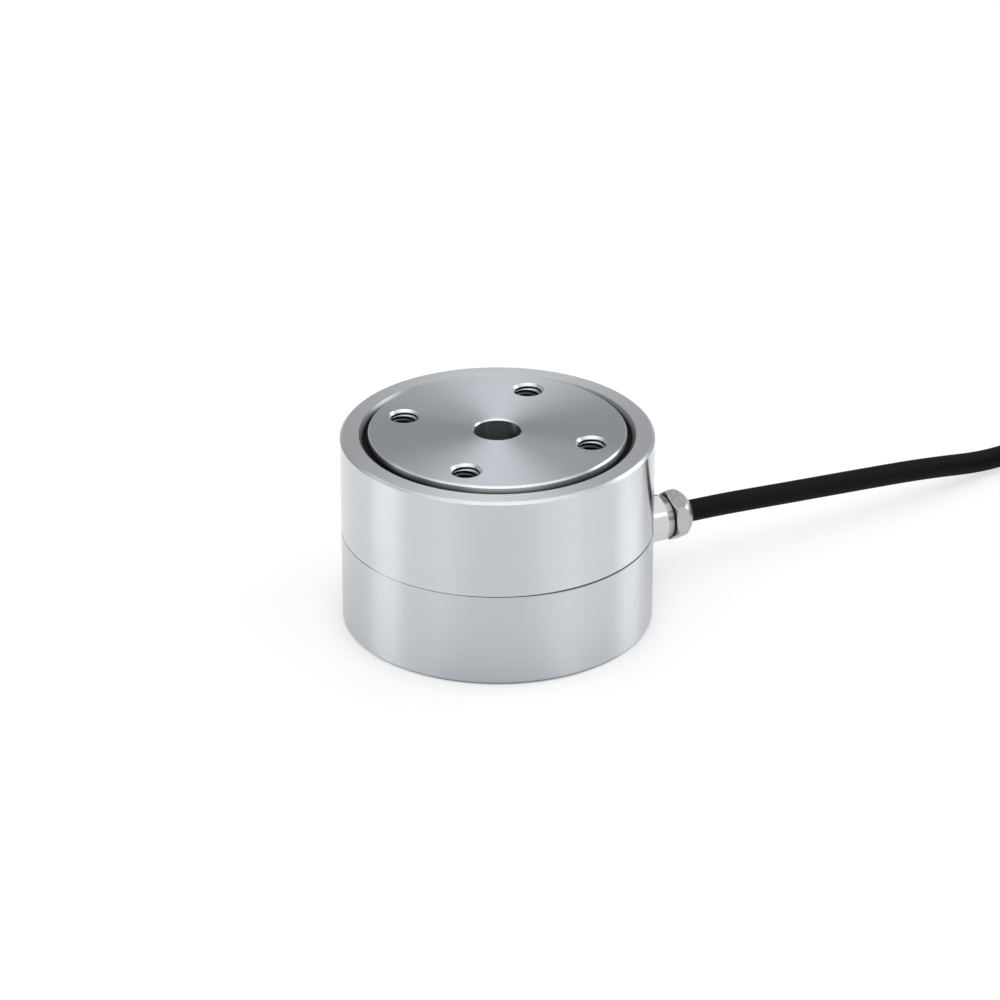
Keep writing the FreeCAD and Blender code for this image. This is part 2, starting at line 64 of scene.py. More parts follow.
# Colours that a user wouldn't change
WHITE = (1.0, 1.0, 1.0)
BLACK = (0.0, 0.0, 0.0)
# Painted highlight on the gland hexagon's upper edges and along the nut's top line
PAINTED_HIGHLIGHT = (0.95, 0.95, 0.96)
GAUGE_FOIL = (0.45, 0.36, 0.22)
TIE_BLACK = (0.012, 0.012, 0.013)
SHRINK_BLACK = (0.008, 0.008, 0.008)
SEAL_BLACK = (0.004, 0.004, 0.004)

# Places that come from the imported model
MOUNTS = {mount["name"]: mount for mount in frame["record"]["mounts"]}
GLAND_AXIS_Z = sum(corner.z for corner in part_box("gland_nut")) / 2
JOINT_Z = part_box("upper_sleeve")[0].z

# How far upwards a face looks to count as level or as sloped
LEVEL_FACE = (0.85, 0.95)
SLOPED_FACE = (0.4, 0.6)

# Where a tone of painted shade or painted highlight starts to change and where it has changed, in metres
# from the part's or a hole's axis
BORE_MOUTH = (0.0060, 0.0063)
HOLE_MOUTH = (0.0034, 0.0036)
FLANGE_SIDE = (0.0328, 0.0329)
RIM_GAP = (0.0340, 0.0349)
RIM_BEVEL = (0.0351, 0.0353)
JOINT_INSIDE = (0.0396, 0.0399)

# The same in metres above the floor and off the middle of the joint, and where the gauges' grid ends off
# their middle
ABOVE_COLUMN = (0.0300, 0.0310)
GAP_LIGHT = (0.0492, 0.0509)
THREAD_LIGHT = (0.0492, 0.0510)
JOINT_HALF = 0.0001
JOINT_FADE = (0.0001, 0.0005)
GAUGE_MIDDLE = 0.0255
GAUGE_HALF = (0.0026, 0.0027)

# The same on the gland, in metres above its axis, along it and out from it
HEXAGON_TOP = (0.0039, 0.0041)
COLLAR_START = (0.0471, 0.0474)
COLLAR_SHADE = (0.0474, 0.0492)
NUT_CORNERS = (0.0058, 0.0065)
NUT_TOP_LINE = (0.0055, 0.0058)

# The way to the painted highlight on the side of the gap, and the turn of the nut's upper flat
GAP_FRONT = (-0.39, -0.92)
NUT_TOP_TURN = math.radians(68.0)

# Threads in the tapped holes: length in metres, the rest in turns
THREAD_START = math.radians(225.0)
THREAD_LENGTH = 0.0088
THREAD_STEPS = 48
THREAD_RUN_OUT = 0.3
THREAD_FIRST = 0.45
THREAD_FREE = 0.8

# The cable's route from inside the gland to the coil
ROUTE = (
    (0.0360, 0.0000, 0.0162),
    (0.0600, 0.0000, 0.0162),
    (0.0850, 0.0007, 0.0144),
    (0.1090, 0.0029, 0.0120),
    (0.1330, 0.0067, 0.0086),
    (0.1585, 0.0122, 0.0029),
    (0.1780, 0.0175, 0.0029),
)

# The coil, its crossings from turn to turn and the cable's end: metres, and degrees from the entry
ENTRY_LENGTH = 0.0232
COIL_ROWS = 4
POINTS_PER_TURN = 16
JOG_START = 300.0
JOG_LIFT = 0.0007
JOG_MARGIN = 10.0
END_ANGLE = 200.0
END_EASE = (60.0, 50.0)
END_SHIFT = 0.0009
END_LIFT = 0.0008

# The tie round the coil
TIE_ANGLE = 150.0
TIE_REACH = 28.0
TIE_ROOM = 0.0001
TIE_TOP = 0.0253
TIE_TAIL = 0.0085
TIE_TAIL_ROOM = 0.0003
TIE_TAIL_CURL = 0.0012
TIE_TOOTH = 1.35

# Along the cable from the jacket's end, radius, and how far the sleeve's axis drops
SLEEVE_STATIONS = (
    (-0.0070, 0.00310, 0.0),
    (-0.0067, 0.00325, 0.0),
    (-0.0030, 0.00327, 0.0),
    (-0.0005, 0.00325, 0.0),
    (0.0008, 0.00305, 0.0),
    (0.0022, 0.00268, 0.0001),
    (0.0040, 0.00242, 0.0003),
    (0.0070, 0.00230, 0.0005),
    (0.0100, 0.00224, 0.0006),
    (0.0136, 0.00220, 0.0007),
    (0.0140, 0.00205, 0.0007),
)

# Camera and room
SENSOR_WIDTH = 36.0
CAMERA_SHIFT = (0.00253, 0.02219)
TARGET_Z = 0.0255
FLOOR_REACH = 6.0
TENT_RADIUS = 2.5
LAMP_AIM = (0.0, 0.0, 0.03)

# From and to where the floor turns white for the camera and for reflections, and where the painted shade at
# the foot, seen in reflections, eases
FLOOR_FADE = (0.034, 0.050)
REFLECTED_FADE = (0.1, 0.3)
FOOT_FADE = (0.045, 0.07)

# Softboxes: place to the camera's right, beyond the part and up, what they face, size and power
SOFTBOXES = (
    ("overhead", (0.05, -0.31, 1.15), (0.05, -0.31, 0.0), (2.1, 1.38), 9.1),
    ("front_card", (0.04, -0.58, 1.13), (0.04, -0.58, 0.0), (0.95, 0.55), 0.95),
    ("slot", (-0.03, 0.99, 1.15), (-0.03, 0.99, 0.0), (0.36, 1.22), 2.1),
    ("left_strip", (-1.15, -0.06, 0.23), LAMP_AIM, (0.55, 0.42), 3.8),
    ("right_strip", (1.05, 0.47, 0.5), LAMP_AIM, (0.55, 1.0), 3.9),
    ("gland_card", (0.89, -0.65, 0.575), LAMP_AIM, (0.35, 0.45), 0.36),
)


class CableSettings(PropertyGroup):
    """Sizes and colours of the cable and what is on it."""

    length: FloatProperty(name="Length", description="Whole cable", default=3.0, unit="LENGTH")
    diameter: FloatProperty(name="Diameter", description="Over the jacket", default=0.0058, unit="LENGTH")
    mean_radius: FloatProperty(
        name="Coil radius", description="Middle of the coil's turns", default=0.033, unit="LENGTH"
    )
    pitch: FloatProperty(name="Turn pitch", description="From turn to turn", default=0.0059, unit="LENGTH")
    rise: FloatProperty(name="Row rise", description="From row to row", default=0.00506, unit="LENGTH")
    turns: IntProperty(name="Bottom turns", description="Turns in the lowest row", default=5)
    tie_width: FloatProperty(name="Tie width", description="Strap width", default=0.005, unit="LENGTH")
    tie_thick: FloatProperty(name="Tie strap", description="Strap thickness", default=0.0008, unit="LENGTH")
    jacket: FloatVectorProperty(
        name="Jacket", description="Colour of the jacket", default=(0.004, 0.004, 0.0044), subtype="COLOR"
    )


class SteelSettings(PropertyGroup):
    """Colours of the turned and plated metal."""

    flange: FloatVectorProperty(
        name="Flange", description="Face-turned load flange", default=(0.49, 0.512, 0.545), subtype="COLOR"
    )
    sleeve: FloatVectorProperty(
        name="Sleeve", description="Polished upper ring", default=(0.597, 0.616, 0.64), subtype="COLOR"
    )
    housing: FloatVectorProperty(
        name="Housing", description="Ground lower ring", default=(0.572, 0.591, 0.619), subtype="COLOR"
    )
    nickel: FloatVectorProperty(
        name="Nickel", description="Plated gland body", default=(0.62, 0.625, 0.635), subtype="COLOR"
    )
    nut: FloatVectorProperty(
        name="Nut", description="Duller plated gland nut", default=(0.51, 0.515, 0.52), subtype="COLOR"
    )


class ThreadSettings(PropertyGroup):
    """Sizes of the visible threads."""

    pitch: FloatProperty(name="Hole pitch", description="Tapped holes", default=0.00125, unit="LENGTH")
    height: FloatProperty(name="Hole ridge", description="Height inwards", default=0.00036, unit="LENGTH")


class StageSettings(PropertyGroup):
    """Camera, floor and light."""

    azimuth: FloatProperty(
        name="Azimuth", description="Camera round the part", default=math.radians(-26.7), subtype="ANGLE"
    )
    elevation: FloatProperty(
        name="Elevation", description="Camera above the floor", default=math.radians(26.854), subtype="ANGLE"
    )
    distance: FloatProperty(name="Distance", description="Camera", default=1.1327, unit="LENGTH")
    lens: FloatProperty(name="Lens", description="Focal length in millimetres", default=159.16)
    floor: FloatVectorProperty(
        name="Floor", description="Colour of the floor", default=(0.92, 0.92, 0.92), subtype="COLOR"
    )
    ambient: FloatProperty(name="Ambient", description="Light from all round", default=0.6)
    tent: FloatProperty(name="Tent", description="Grey tent that the metal shows", default=0.45)


class LoadCellSettings(PropertyGroup):
    """Everything that a user would change."""

    cable: PointerProperty(type=CableSettings)
    steel: PointerProperty(type=SteelSettings)
    threads: PointerProperty(type=ThreadSettings)
    stage: PointerProperty(type=StageSettings)


class Signal:
    """A shader socket that takes part in Python arithmetic by adding Math nodes."""

    def __init__(self, graph, socket):
        self.graph = graph
        self.socket = socket

    def math(self, operation, *values):
        return self.graph.node("ShaderNodeMath", {"operation": operation}, dict(enumerate(values)))

    def __add__(self, other):
        return self.math("ADD", self, other)

    def __radd__(self, other):
        return self.math("ADD", other, self)

    def __sub__(self, other):
        return self.math("SUBTRACT", self, other)

    def __rsub__(self, other):
        return self.math("SUBTRACT", other, self)

    def __mul__(self, other):
        return self.math("MULTIPLY", self, other)

    def __rmul__(self, other):
        return self.math("MULTIPLY", other, self)

    def __truediv__(self, other):
        return self.math("DIVIDE", self, other)

    def __rtruediv__(self, other):
        return self.math("DIVIDE", other, self)

    def __pow__(self, other):
        return self.math("POWER", self, other)

    def __rpow__(self, other):
        return self.math("POWER", other, self)

    def size(self):
        return self.math("ABSOLUTE", self)

    def sine(self):
        return self.math("SINE", self)

    def angle_over(self, other):
        return self.math("ARCTAN2", self, other)

    def over(self, limit):
        return self.math("GREATER_THAN", self, limit)

    def larger(self, other):
        return self.math("MAXIMUM", self, other)

    def smaller(self, other):
        return self.math("MINIMUM", self, other)

    def window(self, low, high):
        """0 below low, 1 above high and a smooth step between."""
        sockets = {"Value": self, "From Min": low, "From Max": high}
        return self.graph.node("ShaderNodeMapRange", {"interpolation_type": "SMOOTHSTEP"}, sockets)


class Graph:
    """The node tree of one material or of the world."""

    def __init__(self, owner):
        owner.use_nodes = True
        self.tree = owner.node_tree
        self.tree.nodes.clear()

    def node(self, kind, settings=None, inputs=None, output=0):
        """Add a node, set it up, fill its sockets and give back one of its outputs."""
        made = self.tree.nodes.new(kind)
        for name, value in (settings or {}).items():
            setattr(made, name, value)
        for name, value in (inputs or {}).items():
            socket = made.inputs[name]
            if isinstance(value, Signal):
                self.tree.links.new(value.socket, socket)
            elif socket.type == "RGBA":
                socket.default_value = (*value[:3], 1.0)
            else:
                socket.default_value = value
        if not made.outputs:
            return None
        return Signal(self, made.outputs[output])

    def place(self):
        """X, Y and Z in the part's own frame, and the vector."""
        vector = self.node("ShaderNodeTexCoord", output="Object")
        return [self.node("ShaderNodeSeparateXYZ", None, {0: vector}, axis) for axis in "XYZ"] + [vector]

    def facing(self, axis):
        """One part of the direction that the surface faces."""
        normal = self.node("ShaderNodeNewGeometry", output="Normal")
        return self.node("ShaderNodeSeparateXYZ", None, {0: normal}, axis)

    def lines(self, along, per_metre, detail=2.0):
        """Uneven lines across a length that runs in metres."""
        sockets = {"W": along * per_metre, "Scale": 1.0, "Detail": detail}
        return self.node("ShaderNodeTexNoise", {"noise_dimensions": "1D"}, sockets)

    def grain(self, vector, per_metre, detail=3.0):
        """Soft noise that is alike in all directions."""
        sockets = {"Vector": vector, "Scale": per_metre, "Detail": detail, "Roughness": 0.5}
        return self.node("ShaderNodeTexNoise", None, sockets)

    def blend(self, mask, low, high):
        """A colour between two others."""
        return self.node("ShaderNodeMix", {"data_type": "RGBA"}, {0: mask, 6: low, 7: high}, 2)

    def bump(self, height, strength, distance):
        sockets = {"Height": height, "Strength": strength, "Distance": distance}
        return self.node("ShaderNodeBump", None, sockets)

    def surface(self, **sockets):
        """The Principled shader, with socket names written with underscores, and the output."""
        named = {name.replace("_", " "): value for name, value in sockets.items()}
        shader = self.node("ShaderNodeBsdfPrincipled", None, named)
        self.node("ShaderNodeOutputMaterial", None, {"Surface": shader})


def shade(colour, factor):
    """A colour made darker or lighter."""
    return tuple(min(1.0, part * factor) for part in colour)


def diagonal(a, b):
    """Length across two sides that stand square to each other."""
    return (a * a + b * b) ** 0.5


def new_material(name):
    """A material and its empty node tree."""
    material = bpy.data.materials.new(name)
    return material, Graph(material)


def turned_finish(name, colour, roughness, anisotropic, lines, tones=None, face=None, edge=None):
    """Metal that was turned on a lathe: lines run round the Z axis on every face.

    Lines are given as their number per metre and depth. Level faces and chamfers are given as their
    brightness and roughness; the brightness is painted light, lighter or darker for the light they catch.
    """
    material, g = new_material(name)
    per_metre, depth = lines
    face_light, face_rough = face or (1.0, roughness)
    edge_light, edge_rough = edge or (1.0, roughness)
    x, y, z, vector = g.place()
    radius = diagonal(x, y)
    across = radius + z
    fine = g.lines(across, per_metre)
    broad = g.lines(across, per_metre / 12.0, 3.0)
    cloud = g.grain(vector, 60.0)
    tone = fine * 0.35 + broad * 0.4 + cloud * 0.25
    side = g.blend(tone, shade(colour, 0.95), shade(colour, 1.05))
    # Level faces, and chamfers below, take a painted lighter or darker tone for the light that they catch
    top = g.blend(tone, shade(colour, 0.95 * face_light), shade(colour, 1.05 * face_light))
    upright = g.facing("Z")
    level = upright.window(*LEVEL_FACE)
    slope = upright.window(*SLOPED_FACE) * (1 - level)
    base = g.blend(slope, g.blend(level, side, top), shade(colour, edge_light))
    if tones:
        base = tones(g, (x, y, z, radius), shade(colour, 0.06), base)
    uneven = roughness + (broad - 0.5) * 0.06 + (cloud - 0.5) * 0.04
    g.surface(
        Base_Color=base,
        Metallic=1.0,
        Roughness=uneven + slope * (edge_rough - roughness) + level * (face_rough - roughness),
        Anisotropic=anisotropic,
        Anisotropic_Rotation=0.25,
        Normal=g.bump(fine + broad * 0.5, 0.3, depth),
    )
    return material


def flange_tones(g, spot, dark, base):
    """Painted shade in the flange's bore, in its holes and down its side, with a painted highlight on the
    side at the front.
    """
    x, y, z, radius = spot
    side_x = x.size()
    side_y = y.size()
    place = circle_radius(MOUNTS["flange_bolts"]) * math.sqrt(0.5)
    from_hole = diagonal(side_x - place, side_y - place)
    along = side_x.larger(side_y) - circle_radius(MOUNTS["base_bolts"])
    from_base_hole = diagonal(along, side_x.smaller(side_y))
    upper = z.window(*ABOVE_COLUMN)
    wall = 1 - g.facing("Z").window(0.3, 0.5)
    # Painted shade in the bore and in the holes of both faces
    open_bore = 1 - wall * (1 - radius.window(*BORE_MOUTH)) * 0.5
    open_hole = 1 - upper * (1 - from_hole.window(*HOLE_MOUTH))
    open_base = upper.larger(from_base_hole.window(*HOLE_MOUTH))
    side_wall = radius.window(*FLANGE_SIDE) * upper
    # A painted highlight on the side of the gap at the front
    front = (x * GAP_FRONT[0] + y * GAP_FRONT[1]) / radius
    base = g.blend(side_wall * front.window(0.92, 1.0), base, WHITE)
    # Painted shade down the side of the gap, lighter towards its top except on the left
    away = 1 - (x / radius).window(-0.92, -0.78)
    open_side = 1 - side_wall * (1 - z.window(*GAP_LIGHT) * (1 - away * 0.6))
    return g.blend(open_bore * open_hole * open_base * open_side, dark, base)


def joint_tones(g, spot, dark, base):
    """Painted shade in the line between the two rings on the gland's side, and a painted highlight in the
    line on the other.
    """
    x, _, z, radius = spot
    line = 1 - (z - JOINT_Z - JOINT_HALF).size().window(*JOINT_FADE)
    inside = 1 - radius.window(*JOINT_INSIDE)
    turn = x / radius
    # Painted highlight in the joint line on the side away from the gland
    base = g.blend(line * inside * (1 - turn.window(-0.8, -0.4)), base, WHITE)
    # Painted shade in the joint line on the gland's side
    return g.blend(line * turn.window(-0.5, 0.1) * 0.65, base, dark)


def rim_tones(g, spot, dark, base):
    """Painted shade down the gap round the flange, lighter over the rim's inner bevel."""
    radius = spot[3]
    # Painted shade down the gap, less of it over the inner bevel
    bevel = radius.window(*RIM_GAP) * (0.6 + radius.window(*RIM_BEVEL) * 0.4)
    return joint_tones(g, spot, dark, g.blend(bevel, dark, base))


def thread_tones(g, spot, dark, base):
    """Painted shade down the hole, leaving the first turns below the face light."""
    return g.blend(spot[2].window(*THREAD_LIGHT), dark, base)


def plated_finish(name, colour, roughness, peel_depth=0.00002, tones=None):
    """Bright plating with a faint orange-peel surface."""
    material, g = new_material(name)
    spot = g.place()
    vector = spot[3]
    peel = g.grain(vector, 1800.0, 2.0)
    cloud = g.grain(vector, 260.0)
    base = g.blend(cloud, shade(colour, 0.9), shade(colour, 1.08))
    if tones:
        base = tones(g, spot, colour, base)
    g.surface(
        Base_Color=base,
        Metallic=1.0,
        Roughness=roughness + (peel - 0.5) * 0.12,
        Normal=g.bump(peel, 0.25, peel_depth),
    )
    return material


def hexagon_tones(g, spot, colour, base):
    """A painted highlight along the hexagon's upper edges, a top painted darker, and painted shade on the
    collar, deepening towards the nut.
    """
    x, _, z, _ = spot
    upper = g.facing("Z").window(0.1, 0.3)
    top = (z - GLAND_AXIS_Z).window(*HEXAGON_TOP)
    collar = x.window(*COLLAR_START)
    # The top flat painted darker, as painted shade
    base = g.blend(upper * top * 0.3, base, shade(colour, 0.5))
    # A painted highlight along the upper edges
    base = g.blend(upper * (1 - top) * (1 - collar), base, PAINTED_HIGHLIGHT)
    # Painted shade on the collar, deepening towards the nut
    return g.blend(collar * (0.35 + x.window(*COLLAR_SHADE) * 0.4), base, shade(colour, 0.15))


def nut_tones(g, spot, colour, base):
    """A top mottled and, on the whole, darkened as painted shade, painted shade over the middle of the
    inboard face, and a painted highlight where it meets the top.
    """
    _, y, z, vector = spot
    # Mottling on the top that also darkens it on the whole, as painted shade
    mottle = g.grain(vector, 900.0).window(0.3, 0.7) * g.facing("Z").window(0.75, 0.9)
    base = g.blend(mottle * 0.5, base, shade(colour, 0.5))
    # Painted shade over the inboard face, lighter towards its corners
    inboard = 1 - g.facing("X").window(-0.6, -0.3)
    height = z - GLAND_AXIS_Z
    corners = diagonal(y, height).window(*NUT_CORNERS)
    base = g.blend(inboard * (1 - corners * 0.75), base, shade(colour, 0.15))
    # A painted highlight where the inboard face meets the top flat
    to_top = height * math.sin(NUT_TOP_TURN) - y * math.cos(NUT_TOP_TURN)
    return g.blend(inboard * to_top.window(*NUT_TOP_LINE), base, PAINTED_HIGHLIGHT)


def moulded_finish(name, colour, roughness, grain_per_metre, depth, specular=0.4):
    """Rubber or plastic with a fine grain."""
    material, g = new_material(name)
    vector = g.place()[3]
    grain = g.grain(vector, grain_per_metre)
    cloud = g.grain(vector, grain_per_metre / 14.0)
    g.surface(
        Base_Color=g.blend(cloud, shade(colour, 0.8), shade(colour, 1.25)),
        Roughness=roughness + (cloud - 0.5) * 0.16 + (grain - 0.5) * 0.1,
        Specular_IOR_Level=specular,
        Normal=g.bump(grain, 0.35, depth),
    )
    return material


def board_finish(name, lacquer, copper):
    """Green lacquer over curved copper tracks."""
    material, g = new_material(name)
    x, y, _, vector = g.place()
    track = (diagonal(x, y) * 2800.0).sine().over(0.55)
    spoke = (y.angle_over(x) * 9.0).sine().over(-0.3)
    traces = track * spoke
    cloud = g.grain(vector, 400.0)
    covered = g.blend(traces, shade(lacquer, 0.8), shade(lacquer, 1.8))
    g.surface(
        Base_Color=g.blend(traces * 0.25, covered, copper),
        Roughness=0.22 + cloud * 0.12,
        Normal=g.bump(traces, 0.4, 0.00004),
    )
    return material


def gauge_finish(name, film):
    """Clear amber film over the fine grid of a strain gauge."""
    material, g = new_material(name)
    x, y, z, vector = g.place()
    beyond_grid = (z - GAUGE_MIDDLE).size().window(*GAUGE_HALF)
    bars = ((x - y) * 9000.0).sine().over(0.0) * (1 - beyond_grid)
    cloud = g.grain(vector, 500.0)
    g.surface(
        Base_Color=g.blend(bars, film, GAUGE_FOIL),
        Metallic=bars * 0.6,
        Roughness=0.25 + cloud * 0.1,
        Normal=g.bump(bars, 0.3, 0.00002),
    )
    return material


def put_finish(piece, material):
    """Give a piece one material in all its slots."""
    if piece.data.materials:
        for index in range(len(piece.data.materials)):
            piece.data.materials[index] = material
    else:
        piece.data.materials.append(material)


def finish_nodes(material, *names):
    """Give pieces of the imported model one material."""
    for name in names:
        put_finish(frame["nodes"][name], material)


def add_piece(name, data, slot, material, *replaced):
    """Link a new piece, let it ride on the body and give it its finish."""
    piece = bpy.data.objects.new(name, data)
    bpy.context.scene.collection.objects.link(piece)
    put_finish(piece, material)
    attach(piece, BODY)
    if replaced:
        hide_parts(*replaced)
    return piece


def mesh_from(name, points, faces):
    """A smooth mesh whose sharp edges stay sharp and whose faces look outwards."""
    mesh = bpy.data.meshes.new(name)
    mesh.from_pydata(points, [], faces)
    shell = bmesh.new()
    shell.from_mesh(mesh)
    bmesh.ops.recalc_face_normals(shell, faces=shell.faces)
    shell.to_mesh(mesh)
    shell.free()
    mesh.polygons.foreach_set("use_smooth", [True] * len(mesh.polygons))
    mesh.set_sharp_from_angle(angle=SHARP_EDGE)
    mesh.update()
    return mesh


def swept(rings, closed=False):
    """Points and faces of a skin over equal rings, capped at both ends unless it is closed."""
    count = len(rings[0])
    points = [point for ring in rings for point in ring]
    faces = []
    total = len(rings)
    for step in range(total if closed else total - 1):
        here = step * count
        there = (step + 1) % total * count
        for k in range(count):
            side = (k + 1) % count
            faces.append((here + k, here + side, there + side, there + k))
    if not closed:
        faces.append(tuple(reversed(range(count))))
        faces.append(tuple(range((total - 1) * count, total * count)))
    return points, faces


def helix_ridge(wall_r, crest_r, pitch, length, place):
    """A thread ridge on a round wall, run out at both ends, turned right-handed about Z."""
    turns = length / pitch - THREAD_FREE
    sunk = wall_r + (wall_r - crest_r) * 0.15
    shape = (
        (sunk, -0.44),
        (wall_r, -0.42),
        (crest_r, -0.08),
        (crest_r, 0.08),
        (wall_r, 0.42),
        (sunk, 0.44),
    )
    rings = []
    for step in range(int(turns * THREAD_STEPS) + 1):
        turn = step / THREAD_STEPS
        full = max(0.02, min(1.0, turn / THREAD_RUN_OUT, (turns - turn) / THREAD_RUN_OUT))
        angle = turn * math.tau
        height = (turn + THREAD_FIRST) * pitch
        ring = []
        for radius, share in shape:
            r = wall_r + (radius - wall_r) * full if radius != sunk else sunk
            point = Vector((r * math.cos(angle), r * math.sin(angle), height + share * pitch * full))
            ring.append(place @ point)
        rings.append(ring)
    return swept(rings)


def block(size, bevel, place):
    """Points and faces of a box with bevelled edges."""
    shell = bmesh.new()
    bmesh.ops.create_cube(shell, size=1.0, matrix=Matrix.Diagonal((*size, 1.0)))
    bmesh.ops.bevel(shell, geom=shell.edges[:], offset=bevel, segments=2, affect="EDGES", profile=0.5)
    shell.verts.index_update()
    points = [place @ corner.co for corner in shell.verts]
    faces = [tuple(corner.index for corner in face.verts) for face in shell.faces]
    shell.free()
    return points, faces


def joined(parts):
    """Several point and face lists as one."""
    points = []
    faces = []
    for some_points, some_faces in parts:
        start = len(points)
        points += some_points
        faces += [tuple(start + corner for corner in face) for face in some_faces]
    return points, faces


def circle_radius(mount):
    """Radius of a bolt pattern's circle in metres."""
    return mount["dims"]["pcd_mm"] / 2 * MM


def hole_places(mount, start_angle):
    """Matrices that put a thread at the foot of each countersink, pointing into the metal."""
    circle_r = circle_radius(mount)
    down = Matrix.Rotation(math.pi, 4, "X") if mount["axis"][2] > 0 else Matrix.Identity(4)
    places = []
    for k in range(mount["dims"]["count"]):
        angle = start_angle + k * math.tau / mount["dims"]["count"]
        foot = Vector((circle_r * math.cos(angle), circle_r * math.sin(angle), mount["pos_m"][2]))
        places.append(Matrix.Translation(foot) @ down @ Matrix.Rotation(THREAD_START, 4, "Z"))
    return places


def smooth_step(value):
    """From 0 to 1 with a soft start and end."""
    value = min(1.0, max(0.0, value))
    return value * value * (3 - 2 * value)


class Coil:
    """Where the put-away length of the cable lies."""

    def __init__(self, cable):
        self.cable = cable
        last = Vector(ROUTE[-1])
        heading = (last - Vector(ROUTE[-2])).normalized()
        to_centre = Vector((heading.y, -heading.x, 0))
        outer_r = cable.mean_radius + (cable.turns - 1) / 2 * cable.pitch
        centre = last + heading * ENTRY_LENGTH + to_centre * outer_r
        self.centre = Vector((centre.x, centre.y, 0))
        self.entry = math.atan2(heading.x, -heading.y)

    def point(self, angle, radius, height):
        """A point clockwise from the entry by an angle in degrees."""
        turn = self.entry - math.radians(angle)
        return self.centre + Vector((radius * math.cos(turn), radius * math.sin(turn), height))

    def beside(self, angle, radius, height, along):
        """A point set off along the turn, square to the radius."""
        turn = self.entry - math.radians(angle)
        return self.point(angle, radius, height) + Vector((math.sin(turn), -math.cos(turn), 0)) * along

    def tracks(self):
        """Radius and height of each turn, row by row, out and in by turns."""
        cable = self.cable
        found = []
        for row in range(COIL_ROWS):
            count = cable.turns - row
            places = [(count - 1) / 2 - k for k in range(count)]
            if row % 2:
                places.reverse()
            height = cable.diameter / 2 + row * cable.rise
            found += [(cable.mean_radius + place * cable.pitch, height, row) for place in places]
        return found

    def tie_lift(self, angle):
        """How far the strap under the bundle lifts it."""
        away = abs(angle - TIE_ANGLE) / TIE_REACH
        return self.cable.tie_thick * (1 - smooth_step(away))

    def winding(self):
        """Control points of the wound turns."""
        tracks = self.tracks()
        step_angle = 360.0 / POINTS_PER_TURN
        # A quadratic spline runs inside its control points by this share
        inward = 0.75 + 0.25 * math.cos(math.radians(step_angle))
        jog = 360.0 - JOG_START
        points = []
        for turn, (radius, height, row) in enumerate(tracks):
            last = turn == len(tracks) - 1
            for step in range(POINTS_PER_TURN):
                angle = step * step_angle
                if last and angle > END_ANGLE:
                    break
                share = smooth_step((angle - JOG_START) / jog)
                if last:
                    near_end = smooth_step((angle - END_ANGLE + END_EASE[0]) / END_EASE[1])
                    r = radius + END_SHIFT * near_end
                    z = height + END_LIFT * near_end
                else:
                    r = radius + (tracks[turn + 1][0] - radius) * share
                    z = height + (tracks[turn + 1][1] - height) * share
                passed = (angle - JOG_START + JOG_MARGIN) / (jog + 2 * JOG_MARGIN)
                crossing = math.sin(math.pi * min(1.0, max(0.0, passed)))
                z += JOG_LIFT * row * crossing + self.tie_lift(angle)
                points.append(self.point(angle, r / inward, z))
        points.append(self.point(END_ANGLE, tracks[-1][0] + END_SHIFT, tracks[-1][1] + END_LIFT))
        return points


